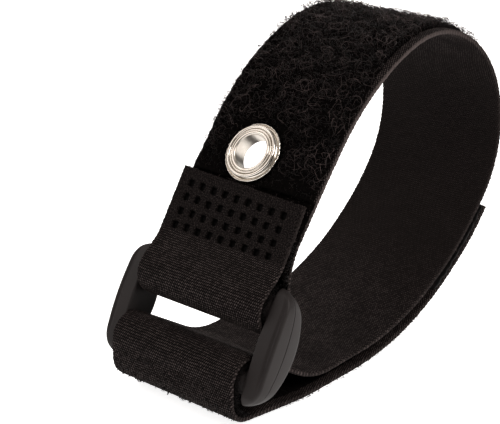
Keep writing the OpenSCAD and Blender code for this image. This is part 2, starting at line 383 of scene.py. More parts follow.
# ---------------------------------------------------------------- materials
class Nodes:
    """Short calls for building a material's node tree."""

    def __init__(self, name):
        self.material = bpy.data.materials.new(name)
        self.material.use_nodes = True
        self.tree = self.material.node_tree
        self.shader = self.tree.nodes["Principled BSDF"]

    def node(self, kind, **values):
        made = self.tree.nodes.new(kind)
        for key, value in values.items():
            setattr(made, key, value)
        return made

    def put(self, socket, value):
        if hasattr(value, "is_output"):
            self.tree.links.new(value, socket)
        else:
            socket.default_value = value

    def math(self, operation, *values, clamp=False):
        made = self.node("ShaderNodeMath", operation=operation, use_clamp=clamp)
        for socket, value in zip(made.inputs, values):
            self.put(socket, value)
        return made.outputs[0]

    def attribute(self, name, output="Fac"):
        return self.node("ShaderNodeAttribute", attribute_name=name).outputs[output]

    def split(self, vector):
        made = self.node("ShaderNodeSeparateXYZ")
        self.put(made.inputs[0], vector)
        return made.outputs

    def join(self, x, y, z):
        made = self.node("ShaderNodeCombineXYZ")
        for socket, value in zip(made.inputs, (x, y, z)):
            self.put(socket, value)
        return made.outputs[0]

    def noise(self, vector, scale, detail=2.0, roughness=0.5):
        made = self.node("ShaderNodeTexNoise")
        self.put(made.inputs["Vector"], vector)
        self.put(made.inputs["Scale"], scale)
        self.put(made.inputs["Detail"], detail)
        self.put(made.inputs["Roughness"], roughness)
        return made.outputs["Fac"]

    def ramp(self, value, low, high, start=0.0, end=1.0):
        made = self.node("ShaderNodeMapRange", interpolation_type="SMOOTHSTEP")
        for socket, given in zip(made.inputs, (value, low, high, start, end)):
            self.put(socket, given)
        return made.outputs[0]

    def mix(self, factor, a, b):
        made = self.node("ShaderNodeMix", data_type="RGBA")
        self.put(made.inputs["Factor"], factor)
        self.put(made.inputs["A"], a)
        self.put(made.inputs["B"], b)
        return made.outputs["Result"]

    def bump(self, height, distance, strength=1.0, below=None):
        made = self.node("ShaderNodeBump")
        self.put(made.inputs["Height"], height)
        self.put(made.inputs["Distance"], distance)
        self.put(made.inputs["Strength"], strength)
        if below is not None:
            self.put(made.inputs["Normal"], below)
        return made.outputs[0]

    def place(self):
        return self.node("ShaderNodeTexCoord").outputs["Object"]

    def set(self, **values):
        for name, value in values.items():
            self.put(self.shader.inputs[name.replace("_", " ")], value)
        return self.material


def rgb(r, g, b):
    return (r, g, b, 1.0)


def floor_material():
    n = Nodes("pale_floor")
    grain = n.noise(n.place(), 900, 3)
    colour = n.mix(n.ramp(grain, 0.3, 0.7), rgb(0.90, 0.90, 0.90), rgb(0.93, 0.93, 0.93))
    n.shader.inputs["Emission Color"].default_value = (1, 1, 1, 1)
    n.shader.inputs["Emission Strength"].default_value = 0.84
    return n.set(Base_Color=colour, Roughness=0.9)


def webbing_material():
    """Black woven tape: rows of slanted floats across the strap, each with a tone of its own, and with
    painted highlights on their crowns.
    """
    n = Nodes("webbing")
    s, x, side = n.split(n.attribute("strap_mm", "Vector"))
    weld = n.attribute("weld")
    pit = n.attribute("pit")
    soft = n.noise(n.join(s, x, 0.0), 0.30, 2)
    drift = n.math("MULTIPLY", n.math("SUBTRACT", soft, 0.5), 0.35)
    row = n.math("DIVIDE", n.math("ADD", s, drift), RIB)
    column = n.math("DIVIDE", n.math("ADD", x, drift), DASH)
    slant = n.math("ADD", column, n.math("MULTIPLY", row, 0.5))
    hump = n.math("ABSOLUTE", n.math("SINE", n.math("MULTIPLY", row, math.pi)))
    strand = n.math("ABSOLUTE", n.math("SINE", n.math("MULTIPLY", slant, math.pi)))
    crossing = n.math("MULTIPLY", n.ramp(hump, 0.22, 0.95), n.ramp(strand, 0.50, 1.0))
    plain = n.math("SUBTRACT", 1.0, n.math("MULTIPLY", weld, 0.9))
    cell = n.node("ShaderNodeTexWhiteNoise", noise_dimensions="3D")
    n.put(cell.inputs["Vector"], n.join(n.math("FLOOR", row), n.math("FLOOR", slant), 0.0))
    fibre = n.noise(n.join(n.math("MULTIPLY", s, 3.0), x, side), 8.0, 3, 0.65)
    speck = n.noise(n.join(s, x, side), 5.0, 4, 0.75)
    patch = n.noise(n.join(n.math("MULTIPLY", s, 0.6), n.math("MULTIPLY", x, 0.25), side), 0.55, 3)
    # The crowns of the floats are lifted towards light grey: painted glints on the threads, over each
    # float's own tone
    float_tone_and_glint = n.math("MULTIPLY", crossing, n.ramp(cell.outputs["Value"], 0.0, 1.0, 0.32, 1.0))
    float_tone_and_glint = n.math("MULTIPLY", float_tone_and_glint, plain)
    float_tone_and_glint = n.math("MULTIPLY", float_tone_and_glint, n.ramp(patch, 0.25, 0.75, 0.80, 1.12))
    mottle = n.math("ADD", 0.08, n.math("MULTIPLY", weld, 0.52))
    lit = n.math("ADD", float_tone_and_glint, n.math("MULTIPLY", n.ramp(speck, 0.48, 0.68), mottle))
    # Painted shade at the back of the loop: its weave is painted flatter and evened towards one tone,
    # standing in for the soft shade and blur there. The painted highlight on the selvage shows palest up the
    # front of the band
    far_side_painted_shade = n.math("MULTIPLY", n.ramp(s, MARK["crown"] + 30, MARK["crown"] + 62),
                      n.math("SUBTRACT", 1.0, n.ramp(s, MARK["heel"] + 8, MARK["heel"] + 30)))
    lit = n.math("ADD", n.math("MULTIPLY", lit, n.math("SUBTRACT", 1.0, n.math("MULTIPLY", far_side_painted_shade, 0.75))),
                 n.math("MULTIPLY", far_side_painted_shade, 0.095))
    # Painted highlight along both edges of the strap, stronger up the front of the band and on the x < 0
    # edge over the back of the loop
    front = n.math("MULTIPLY", n.ramp(s, MARK["front"], MARK["front"] + 8),
                   n.math("SUBTRACT", 1.0, n.ramp(s, MARK["crown"] + 20, MARK["crown"] + 50)))
    edge_highlight_boost = n.math("ADD", front, n.math("MULTIPLY", far_side_painted_shade, n.ramp(x, 0.5, -0.5)))
    edge = n.ramp(n.math("ABSOLUTE", x), HALF_W - 0.3, HALF_W - 0.03)
    # The painted edge highlight goes into the colour here
    lit = n.math("ADD", lit, n.math("MULTIPLY", edge, n.math("ADD", 0.12, n.math("MULTIPLY", edge_highlight_boost, 0.80))))
    # In the weld pits the colour falls to near black and the weave's light is taken out: partly the dark of
    # the fused weave, partly painted shade in the pits' recesses
    lit = n.math("MULTIPLY", lit, n.math("SUBTRACT", 1.0, pit), clamp=True)
    colour = n.mix(lit, rgb(0.0018, 0.0014, 0.0013), rgb(0.071, 0.0580, 0.0550))
    colour = n.mix(pit, colour, rgb(0.0010, 0.0008, 0.0007))
    height = n.math("ADD", n.math("MULTIPLY", crossing, plain), n.math("MULTIPLY", fibre, 0.6))
    height = n.math("ADD", height, n.math("MULTIPLY", speck, n.math("MULTIPLY", weld, 1.6)))
    normal = n.bump(height, 0.00006, 1.0)
    n.shader.inputs["Specular IOR Level"].default_value = 0.02
    return n.set(Base_Color=colour, Roughness=n.ramp(fibre, 0.2, 0.8, 0.6, 0.85), Normal=normal)


def pile_base_material():
    n = Nodes("pile_base")
    spot = n.place()
    tangle = n.noise(spot, 2600, 4, 0.7)
    clump = n.noise(spot, 520, 3)
    colour = n.mix(n.ramp(tangle, 0.45, 0.75), rgb(0.0010, 0.0007, 0.0006), rgb(0.0040, 0.0029, 0.0026))
    normal = n.bump(n.math("ADD", tangle, clump), 0.00022, 1.0)
    n.shader.inputs["Specular IOR Level"].default_value = 0.03
    return n.set(Base_Color=colour, Roughness=0.9, Normal=normal)


def fibre_material():
    """Loop-pile fibre: near black, with a lighter tone on each loop and along it, which on the curls is
    painted sheen.
    """
    n = Nodes("pile_fibre")
    shade = n.attribute("shade")
    streak = n.noise(n.place(), 1500, 2)
    lit = n.math("MULTIPLY", shade, n.ramp(streak, 0.3, 0.7, 0.5, 1.2), clamp=True)
    colour = n.mix(lit, rgb(0.0014, 0.0010, 0.0009), rgb(0.110, 0.0830, 0.0790))
    n.shader.inputs["Specular IOR Level"].default_value = 0.10
    return n.set(Base_Color=colour, Roughness=n.ramp(streak, 0.2, 0.8, 0.42, 0.6))


def plastic_material():
    """Dark grey moulded plastic with a fine satin grain and faint flow marks."""
    n = Nodes("buckle_plastic")
    spot = n.place()
    grain = n.noise(spot, 5200, 3, 0.6)
    flow = n.noise(spot, 160, 4, 0.55)
    colour = n.mix(n.ramp(flow, 0.3, 0.7), rgb(0.0100, 0.0078, 0.0073), rgb(0.0130, 0.0102, 0.0096))
    normal = n.bump(grain, 0.00001, 0.35, n.bump(flow, 0.0001, 0.12))
    n.shader.inputs["Specular IOR Level"].default_value = 0.21
    return n.set(Base_Color=colour, Roughness=n.ramp(flow, 0.25, 0.75, 0.46, 0.56), Normal=normal)


def nickel_material():
    """Bright nickel plate with fine turning marks and slight clouding."""
    n = Nodes("nickel")
    spot = n.place()
    cloud = n.noise(spot, 420, 4, 0.6)
    fine = n.noise(spot, 4200, 2, 0.6)
    colour = n.mix(n.ramp(cloud, 0.3, 0.7), rgb(0.52, 0.480, 0.425), rgb(0.66, 0.625, 0.565))
    normal = n.bump(fine, 0.000012, 0.2, n.bump(cloud, 0.00004, 0.25))
    inside = n.math("MULTIPLY", n.attribute("bore"), 0.22)
    dull = n.math("ADD", n.ramp(cloud, 0.25, 0.75, 0.12, 0.20), inside)
    n.shader.inputs["Metallic"].default_value = 1.0
    return n.set(Base_Color=colour, Roughness=dull, Normal=normal)


def fused_material():
    n = Nodes("fused")
    melt = n.noise(n.place(), 2200, 3, 0.6)
    colour = n.mix(n.ramp(melt, 0.35, 0.7), rgb(0.0010, 0.0008, 0.0007), rgb(0.0026, 0.0021, 0.0019))
    n.shader.inputs["Specular IOR Level"].default_value = 0.05
    return n.set(Base_Color=colour, Roughness=0.7, Normal=n.bump(melt, 0.00006, 0.8))


def hook_material():
    n = Nodes("hook_plastic")
    melt = n.noise(n.place(), 1800, 3, 0.5)
    colour = n.mix(n.ramp(melt, 0.3, 0.7), rgb(0.003, 0.003, 0.003), rgb(0.006, 0.0055, 0.0055))
    n.shader.inputs["Specular IOR Level"].default_value = 0.15
    rough = n.ramp(melt, 0.3, 0.7, 0.4, 0.55)
    return n.set(Base_Color=colour, Roughness=rough, Normal=n.bump(melt, 0.00003, 0.5))


WEBBING = webbing_material()
PILE_BED = pile_base_material()
FIBRE = fibre_material()
PLASTIC = plastic_material()
NICKEL = nickel_material()
FUSED = fused_material()
HOOKS = hook_material()


# ---------------------------------------------------------------- pile
FAR_EDGE, BED_HOLE_R = -HALF_W + 0.15, 4.0


def near_edge(run):
    """Where the pile ends on the near side: near the edge low on the front, further in over the top."""
    return HALF_W - 0.55 - 1.15 * smooth_step((run - MARK["crown"] - 6) / 14)


def pile_base(name, low, high, thick, material, inset=None):
    """Matted bed of the pile: a closed layer with a lumpy top. inset trims both of its sides."""
    floor, pitch = HALF_T - 0.1, 0.34
    run = np.linspace(low, high, max(3, int((high - low) / pitch)) + 1)
    across = np.linspace(-1, 1, int(STRAP_W / pitch) + 1)
    s, t = np.meshgrid(run, across, indexing="ij")
    near = near_edge(s) if inset is None else HALF_W - inset
    far = FAR_EDGE if inset is None else inset - HALF_W
    x = far + (near - far) * (t + 1) / 2
    x = x + smooth_step((np.abs(t) - 0.9) / 0.1) * np.sign(t) * 0.12 * wobble(s * 2.3, t * 3, seed=5)
    lump = wobble(s * 2.9, x * 3.1, seed=7) * 0.5 + wobble(s * 6.5, x * 6.0, seed=8) * 0.5
    dome = 1 - smooth_step((np.abs(t) - 0.93) / 0.07)
    gap = np.hypot(s - EYELET_RUN, x - EYELET.x)
    press = 1 - 0.75 * smooth_step((WASHER_R + 1.2 - gap) / 1.2)
    top = floor + 0.1 + (thick * (0.62 + 0.30 * lump) * press - 0.1) * (0.15 + 0.85 * dome)
    m, k = s.shape
    points = np.vstack([place(s, x, top), place(s, x, np.full_like(s, floor))])
    i, j = np.meshgrid(np.arange(m - 1), np.arange(k - 1), indexing="ij")
    a = i * k + j
    hole = gap < BED_HOLE_R
    keep = ~(hole[:-1, :-1] | hole[1:, :-1] | hole[:-1, 1:] | hole[1:, 1:]).reshape(-1)
    upper = np.stack([a, a + k, a + k + 1, a + 1], -1).reshape(-1, 4)[keep]
    lower = upper[:, ::-1] + m * k
    rim = open_rim(upper)
    walls = np.column_stack([rim[:, 1], rim[:, 0], rim[:, 0] + m * k, rim[:, 1] + m * k])
    used, index = np.unique(np.concatenate([upper, lower, walls]), return_inverse=True)
    faces = index.reshape(-1, 4)
    piece = add_mesh(name, points[used], faces[:, ::-1])
    piece.data.materials.append(material)
    return piece


def tubes(name, paths, radii, shades, material):
    """One mesh of many thin square tubes: paths (n, k, 3) in metres, with a radius and a shade each."""
    n, k, _ = paths.shape
    sides = 4
    tangent = np.gradient(paths, axis=1)
    tangent /= np.linalg.norm(tangent, axis=2, keepdims=True) + 1e-12
    guide = np.array([0.37, 0.61, 0.70])
    u = np.cross(tangent, guide)
    u /= np.linalg.norm(u, axis=2, keepdims=True) + 1e-12
    v = np.cross(tangent, u)
    angle = np.linspace(0, 2 * np.pi, sides, endpoint=False)
    taper = np.ones(k)
    taper[0] = taper[-1] = 0.45
    reach = radii[:, None] * taper
    ring = np.cos(angle)[:, None] * u[:, :, None, :] + np.sin(angle)[:, None] * v[:, :, None, :]
    points = (paths[:, :, None, :] + ring * reach[:, :, None, None]).reshape(-1, 3)
    base = np.arange(n)[:, None, None] * k * sides
    i = np.arange(k - 1)[None, :, None] * sides
    j = np.arange(sides)[None, None, :]
    a, b = base + i + j, base + i + (j + 1) % sides
    quads = np.stack([a, b, b + sides, a + sides], -1).reshape(-1, 4)
    ends = []
    for row, flip in ((0, True), (k - 1, False)):
        cap = np.arange(n)[:, None] * k * sides + row * sides + np.arange(sides)[None, :]
        ends.append(cap[:, ::-1] if flip else cap)
    piece = add_mesh(name, points, np.vstack([quads] + ends))
    set_attribute(piece, "shade", np.repeat(shades, k * sides))
    piece.data.materials.append(material)
    return piece


def loop_paths(run, x, base, height, size, draw, steps):
    """Curly loops that stand on the strap: each an open ring, tipped over, with its feet in the bed."""
    count = len(run)
    ahead, out = directions(run)
    side = np.tile([1.0, 0, 0], (count, 1))
    turn = draw.uniform(0, 2 * np.pi, count)[:, None]
    flat = np.cos(turn) * ahead + np.sin(turn) * side
    other = -np.sin(turn) * ahead + np.cos(turn) * side
    tip = np.radians(draw.uniform(8, 75, count))[:, None]
    rise = np.sin(tip) * out + np.cos(tip) * other
    span = draw.uniform(3.4, 5.6, count)[:, None]
    t = np.linspace(-0.5, 0.5, steps)[None, :]
    angle = span * t
    bend = 1 + 0.18 * np.sin(3 * angle + draw.uniform(0, 6, count)[:, None])
    a = (np.sin(angle) * bend)[:, :, None] * flat[:, None, :]
    b = (np.cos(angle) * bend)[:, :, None] * rise[:, None, :]
    drift = draw.normal(0, 0.25, (count, 1, 3)) * t[:, :, None]
    reach = size[:, None, None] * (a + b + drift)
    lift = np.einsum("ijk,ik->ij", reach, out)
    feet = smooth_step((np.abs(t) - 0.36) / 0.14) * 0.5
    up = (height - lift.max(1))[:, None] - feet * height[:, None]
    up = np.where(lift + up < -0.05, -0.05 - lift, up)
    local = reach + up[:, :, None] * out[:, None, :]
    return place(run, x, base)[:, None, :] + local * MM


def scatter(low, high, density, draw):
    """Random places on a stretch of pile, as runs and x, at a density per square millimetre."""
    count = int((high - low) * STRAP_W * density)
    run = draw.uniform(low, high, count)
    return run, FAR_EDGE + (near_edge(run) - FAR_EDGE) * draw.uniform(0, 1, count)


def nearness(run, x):
    """1 where the pile is trodden down, by the washer or the end of the flap, and 0 where it is free. The
    loops there are also painted darker, as painted shade.
    """
    gap = np.hypot(run - EYELET_RUN, x - EYELET.x)
    near = smooth_step((WASHER_R + 3.0 - gap) / 2.6)
    return np.maximum(near, smooth_step((FLAP_END_RUN + 6.0 - run) / 6.0))


def pile_loops(prefix, low, high, body, height, seed):
    """Loops over a stretch of pile, in chunks: a dense dark nap, and larger curls over it, painted lighter
    as sheen.
    """
    chunk = 22.0
    draw = np.random.default_rng(seed)
    cuts = np.linspace(low, high, max(1, int(round((high - low) / chunk))) + 1)
    # Name, loops per square mm, their sizes and heights, tone with painted sheen, thread radii and points
    # per loop
    kinds = (("nap", 3.4, (0.30, 0.62), (0.40, 0.85), 0.13, (0.024, 0.036), 9),
             ("curl", 1.15, (0.60, 1.20), (0.75, 1.15), 1.1, (0.021, 0.031), 15))
    for number, (a, b) in enumerate(zip(cuts[:-1], cuts[1:])):
        for kind, density, sizes, heights, tone_and_sheen, thickness, steps in kinds:
            run, x = scatter(a, b, density, draw)
            keep = np.hypot(run - EYELET_RUN, x - EYELET.x) > WASHER_R + 0.2
            run, x = run[keep], x[keep]
            count = len(run)
            near = nearness(run, x)
            front = smooth_step((MARK["crown"] + 26 - run) / 26)
            tall = height * draw.uniform(*heights, count) * (1 - 0.62 * near) * (1 - 0.18 * front)
            size = draw.uniform(*sizes, count) * (1 - 0.45 * near)
            patch = 0.5 + 0.5 * wobble(run * 0.55, x * 0.55, seed=21)
            # Each loop's tone: painted sheen on the lighter curls, and painted shade (1 - 0.85 * near) by
            # the washer and the flap's end
            shade = draw.beta(1.3, 2.6, count) * tone_and_sheen * (0.45 + 0.75 * patch) * (1 - 0.85 * near)
            paths = loop_paths(run, x, np.full(count, HALF_T + 0.12), tall, size, draw, steps)
            radii = draw.uniform(*thickness, count) * MM
            piece = tubes(f"{prefix}_{kind}_{number}", paths, radii, shade, FIBRE)
            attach(piece, body)


def strays(name, count, run, x, n, body, seed, reach, lean=(0.0, 0.0), thick=(0.016, 0.028)):
    """Loose fibres out of the strap: run, x and n are (low, high), lean pulls them along X and out."""
    draw = np.random.default_rng(seed)
    runs, xs, ns = (draw.uniform(*span, count) for span in (run, x, n))
    ahead, out = directions(runs)
    way = draw.normal(0, 0.5, (count, 3)) + np.array([1.0, 0, 0]) * lean[0] + out * lean[1]
    way /= np.linalg.norm(way, axis=1, keepdims=True)
    bend = np.cross(way, draw.normal(0, 1, (count, 3)))
    bend /= np.linalg.norm(bend, axis=1, keepdims=True)
    length = draw.uniform(*reach, count)[:, None, None]
    t = np.linspace(0, 1, 9)[None, :, None]
    curl = draw.uniform(0.1, 0.55, (count, 1, 1))
    local = length * (t * way[:, None, :] + curl * t * t * bend[:, None, :])
    paths = place(runs, xs, ns)[:, None, :] + local * MM
    radii = draw.uniform(*thick, count) * MM
    piece = tubes(name, paths, radii, draw.beta(1.2, 3, count) * 0.5, FIBRE)
    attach(piece, body)


def edge_fuzz(name, low, high, body, seed):
    """Pile that shows at the mouths of a fold, on both edges of the strap."""
    near, density = (HALF_W - 0.5, HALF_W + 0.02), 9.0
    draw = np.random.default_rng(seed)
    count = int((high - low) * density)
    run = draw.uniform(low, high, 2 * count)
    x = draw.uniform(*near, 2 * count) * np.repeat([1, -1], count)
    tall, size = draw.uniform(0.5, 0.95, 2 * count), draw.uniform(0.2, 0.42, 2 * count)
    paths = loop_paths(run, x, np.full(2 * count, HALF_T), tall, size, draw, 8)
    piece = tubes(name, paths, np.full(2 * count, 0.032 * MM), draw.beta(1, 5, 2 * count) * 0.2, FIBRE)
    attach(piece, body)


def make_fuzz():
    """Nap at the mouths of the folds, and fibres that have come loose along cut ends, folds and edges."""
    edge_fuzz("fuzz_in_top_wrap", MARK["wrap"] - 3.0, MARK["front"] - 1.0, "band", 51)
    edge_fuzz("fuzz_in_low_fold", MARK["over"] + 0.2, MARK["landing"] - 3.0, "buckle", 52)
    half = (-HALF_W + 0.3, HALF_W - 0.3)
    strays("strays_flap_end", 90, (0.0, 0.25), half, (-HALF_T, HALF_T), "band", 53,
           (0.2, 0.6), thick=(0.02, 0.045))
    low = MARK["under"] + 0.5
    strays("strays_low_fold", 420, (low, low + 5.5), half, (-HALF_T - 0.02, -HALF_T), "buckle", 54,
           (0.15, 0.42), (0, -0.6), (0.04, 0.10))
    last = (MARK["end"] - 0.3, MARK["end"])
    strays("strays_tail_end", 160, last, half, (-HALF_T, HALF_T + 0.3), "tail_tip", 55,
           (0.3, 0.9), (0.3, -0.1), (0.02, 0.05))
    for number, side in enumerate((-1, 1)):
        edge = tuple(sorted((side * (HALF_W - 0.02), side * (HALF_W + 0.02))))
        span = (MARK["front"] + 2, MARK["heel"])
        strays(f"strays_band_edge_{number}", 260, span, edge, (0, HALF_T), "band", 56 + number,
               (0.1, 0.4), (side, 0.3))
        span = (MARK["landing"] + 4, TIP_BEND_FROM)
        strays(f"strays_tail_edge_{number}", 260, span, edge, (-HALF_T, 0.3), "tail", 58 + number,
               (0.15, 0.5), (side, 0), (0.018, 0.04))


HOOK_R, HOOK_ROW_PITCH, HOOK_PITCH = 0.07, 0.95, 0.80


def make_hooks():
    """The hook tab's rows of small moulded hooks, which sink into the band's pile."""
    rows = np.arange(MARK["tip"] + 4.2, MARK["end"] - 0.9, HOOK_ROW_PITCH)
    runs, xs = np.meshgrid(rows, np.arange(-11.6, 11.7, HOOK_PITCH), indexing="ij")
    runs, xs = runs.reshape(-1), xs.reshape(-1)
    ahead, out = directions(runs)
    way = np.where(np.arange(len(runs)) % 2, 1.0, -1.0)[:, None] * ahead
    lift = np.array([0.0, 0.12, 0.24, 0.34, 0.40, 0.39, 0.33])
    along = np.array([0.0, 0.0, 0.01, 0.05, 0.13, 0.22, 0.28])
    local = lift[None, :, None] * out[:, None, :] + along[None, :, None] * way[:, None, :]
    paths = place(runs, xs, HALF_T + HOOK_T * 0.35)[:, None, :] + local * MM
    count = len(runs)
    piece = tubes("hook_rows", paths, np.full(count, HOOK_R * MM), np.zeros(count), HOOKS)
    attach(piece, "tail_tip")


def make_band():
    flap = web_piece("strap_flap", 0, FLAP_TO, columns=230, shape=weld_shape)
    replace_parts(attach(flap, "band"), "strap_anchor")
    band = web_piece("strap_round_wrist", FLAP_TO, MARK["lead"])
    cut_hole(band, HOLE_R + 0.32)
    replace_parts(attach(band, "band"), "strap_band")
    bed = pile_base("pile_bed", FLAP_END_RUN + 0.25, PILE_TO, PILE_T, PILE_BED)
    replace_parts(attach(bed, "band"), "band_pile")
    pressed = pile_base("pile_bed_pressed", PILE_TO, MARK["lead"] + 3.5, PRESSED_T, PILE_BED)
    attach(pressed, "band")
    low, high = MARK["wrap"] - 3.4, MARK["wrap"] + 18.6
    inner = pile_base("pile_in_flap", low, high, PRESSED_T, PILE_BED, inset=0.15)
    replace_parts(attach(inner, "band"), "anchor_pile")
    low, high = FLAP_END_RUN - 11.5, FLAP_END_RUN + 0.25
    under = pile_base("pile_under_flap", low, high, 0.22, PILE_BED, inset=0.12)
    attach(under, "band")
    pile_loops("pile", FLAP_END_RUN + 0.4, MARK["heel"] + 0.6, "band", PILE_T + 0.35, seed=11)


def cut_hole(piece, radius):
    """Bores the eyelet's hole through a piece of the strap."""
    bpy.ops.mesh.primitive_cylinder_add(vertices=96, radius=radius * MM, depth=6 * MM, location=EYELET * MM)
    cutter = bpy.context.object
    cutter.rotation_euler = EYELET_AXIS.to_track_quat("Z", "Y").to_euler()
    bore = piece.modifiers.new("bore", "BOOLEAN")
    bore.operation = "DIFFERENCE"
    bore.object = cutter
    bore.solver = "EXACT"
    apply_modifiers(piece)
    bpy.data.objects.remove(cutter)


def apply_modifiers(piece):
    bpy.context.view_layer.update()
    graph = bpy.context.evaluated_depsgraph_get()
    mesh = bpy.data.meshes.new_from_object(piece.evaluated_get(graph))
    piece.modifiers.clear()
    piece.data = mesh


def make_fold():
    lead = web_piece("strap_through_slot", MARK["lead"], MARK["over"])
    start, end = place(np.array([MARK["lead"] + 1.0, MARK["over"] - 0.5]), 0.0, 0.0)
    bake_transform(lead)
    fold = web_piece("strap_over_bar", MARK["over"], FOLD_TO)
    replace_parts(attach(fold, "buckle"), "strap_fold")
    inner = pile_base("pile_in_fold", MARK["over"], FOLD_TO, PRESSED_T, PILE_BED, inset=0.15)
    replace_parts(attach(inner, "buckle"), "fold_pile")


def make_tail():
    bend = web_piece("strap_tail_bend", FOLD_TO, TAIL_FROM)
    start, end = place(np.array([FOLD_TO + 0.2, TAIL_FROM - 0.2]), 0.0, 0.0)
    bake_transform(bend)
    tail = web_piece("strap_tail_run", TAIL_FROM, TIP_BEND_FROM)
    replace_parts(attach(tail, "tail"), "strap_tail")
    bed = pile_base("pile_on_tail", MARK["landing"] + 1.0, MARK["tip"] - 1.0, HOOK_T, PILE_BED)
    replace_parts(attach(bed, "tail"), "tail_pile")
    bend = web_piece("strap_tip_bend", TIP_BEND_FROM, TIP_BEND_TO)
    start, end = place(np.array([TIP_BEND_FROM + 0.2, TIP_BEND_TO - 0.2]), 0.0, 0.0)
    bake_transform(bend)
    tip = web_piece("strap_tail_end", TIP_BEND_TO, MARK["end"])
    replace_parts(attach(tip, "tail_tip"), "strap_tip")
    tab = pile_base("hook_bed", TIP_BEND_TO, MARK["end"] - 0.2, HOOK_T * 0.6, HOOKS, inset=0.3)
    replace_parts(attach(tab, "tail_tip"), "hook_tab")


# ---------------------------------------------------------------- eyelet and washer
def eyelet_points(radius, angle, height):
    """Points in metres at polar places about the eyelet, height out of the middle of the webbing."""
    out = np.array(EYELET_AXIS)
    across, up = np.array([1.0, 0, 0]), np.cross(out, [1.0, 0, 0])
    ring = np.cos(angle)[..., None] * across + np.sin(angle)[..., None] * up
    return (np.array(EYELET) + radius[..., None] * ring + height[..., None] * out) * MM


def lathe(name, profile, segments, shake):
    """Turns a closed profile of (radius, height) about the eyelet's axis. shake moves its points."""
    angle = np.linspace(0, 2 * np.pi, segments, endpoint=False)
    profile = np.array(profile)
    r, a = np.meshgrid(profile[:, 0], angle, indexing="xy")
    z = np.broadcast_to(profile[:, 1], r.shape)
    r, z = shake(r, a, z)
    m, k = r.shape
    i, j = np.meshgrid(np.arange(m), np.arange(k), indexing="ij")
    here, over = i * k + j, i * k + (j + 1) % k
    ahead, far = (i + 1) % m * k + j, (i + 1) % m * k + (j + 1) % k
    quads = np.stack([here, over, far, ahead], -1).reshape(-1, 4)
    piece = add_mesh(name, eyelet_points(r, a, z).reshape(-1, 3), quads)
    set_attribute(piece, "bore", smooth_step((HOLE_R + 0.25 - r.reshape(-1)) / 0.2))
    piece.data.materials.append(NICKEL)
    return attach(piece, "band")


def arc(centre, radius, start, end, count):
    angle = np.radians(np.linspace(start, end, count))
    return [(centre[0] + radius * math.cos(a), centre[1] + radius * math.sin(a)) for a in angle]


# Height of the pressed pile that the washer sits on
SEAT = HALF_T + PRESSED_T


def make_eyelet():
    """Barrel with a ridged rim outside the loop and a flange inside it, and the washer under the rim."""
    inner = -HALF_T - 0.35
    rim = SEAT + 0.36
    profile = (arc((HOLE_R + 0.36, rim + 0.20), 0.36, 180, 60, 10)
               + [(3.36, rim + 0.14), (3.44, rim + 0.14)]
               + arc((3.64, rim + 0.34), 0.18, 180, 0, 9)
               + [(3.84, rim + 0.12), (3.90, rim + 0.12)]
               + arc((4.17, rim + 0.26), 0.30, 160, -30, 14)
               + [(4.20, rim - 0.01), (3.22, rim - 0.01), (3.18, SEAT), (3.15, -HALF_T)]
               + [(WASHER_R - 0.05, -HALF_T)]
               + arc((WASHER_R - 0.16, inner + 0.16), 0.16, 60, -90, 7)
               + arc((HOLE_R + 0.35, inner + 0.02), 0.36, -105, -180, 8)
               + [(HOLE_R, z) for z in np.linspace(inner + 0.4, rim, 7)])

    def dented(r, a, z):
        wave = 0.03 * wobble(2 * np.cos(a), 2 * np.sin(a), seed=2) * smooth_step((r - 3.4) / 0.6)
        return r + wave, z + 0.6 * wave * (z > SEAT)

    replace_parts(lathe("eyelet_barrel", profile, 180, dented), "eyelet")

    ring = [(3.25, SEAT + 0.02), (3.25, SEAT + 0.30), (4.16, SEAT + 0.24), (4.46, SEAT + 0.02),
            (4.50, SEAT - 0.32), (4.70, SEAT - 0.32), (4.76, SEAT + 0.10), (4.84, SEAT + 0.22),
            (4.92, SEAT + 0.22), (WASHER_R, SEAT + 0.04), (WASHER_R - 0.03, SEAT - 0.38), (4.7, SEAT - 0.40)]

    def ragged(r, a, z):
        outer = smooth_step((r - 4.6) / 0.3)
        nick = np.clip(wobble(14 * np.cos(a), 14 * np.sin(a), seed=6), -1, 1)
        teeth = np.sin(41 * a + 3 * np.sin(3 * a)) * (0.5 + 0.5 * np.sin(2 * a + 1))
        torn = smooth_step((np.cos(a - math.radians(16)) - 0.90) / 0.02) * (a < math.radians(16))
        wide = outer * (0.03 * nick + 0.025 * teeth + 0.08 * torn)
        return r + wide, z + outer * (0.05 * nick + 0.03 * teeth)

    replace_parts(lathe("eyelet_washer_ring", ring, 420, ragged), "eyelet_washer")


# ---------------------------------------------------------------- buckle
BAR_TOP = np.array(JOINTS["buckle_swing"]["pos_m"][1:]) / MM
OVER_START, OVER_HEADING = ROUTE.at(np.array([MARK["over"]]))
BAR_LOW = arc_centre(OVER_START[0], OVER_HEADING[0], WRAP_R)
# The bars' radius, half the slot between the arms, and an arm's width, half height and two depths
BAR_R, SLOT_HALF, ARM_W = 2.3, 13.0, 3.5
ARM_HALF_H, ARM_FRONT, ARM_BACK = 9.25, 2.3, 4.0
# Roundings of an arm: its ends seen from the side and from the front, and its edges from the slot round
END_R, CORNER_R, EDGE_RS = 1.4, 3.4, (0.25, 0.50, 0.95, 0.4)
# Along a face, as a fraction of it: a crease down the front one and the parting line down the outer one
CREASE, CREASE_W, CREASE_DEPTH = 0.88, 0.07, 0.20
PARTING, PARTING_W, PARTING_DEPTH = 0.48, 0.016, 0.20
PARTING_FRACTIONS = PARTING + np.array([-0.024, -0.012, -0.004, 0.004, 0.012, 0.024])


def buckle_place(x, back, up):
    """Points in metres from the buckle's own axes: across, towards the wrist, and from bar to bar."""
    rise = (BAR_TOP - BAR_LOW) / np.linalg.norm(BAR_TOP - BAR_LOW)
    deep = np.array([rise[1], -rise[0]])
    side = (BAR_TOP + BAR_LOW) / 2 + np.asarray(back)[..., None] * deep + np.asarray(up)[..., None] * rise
    return np.concatenate([np.asarray(x)[..., None], side], -1) * MM


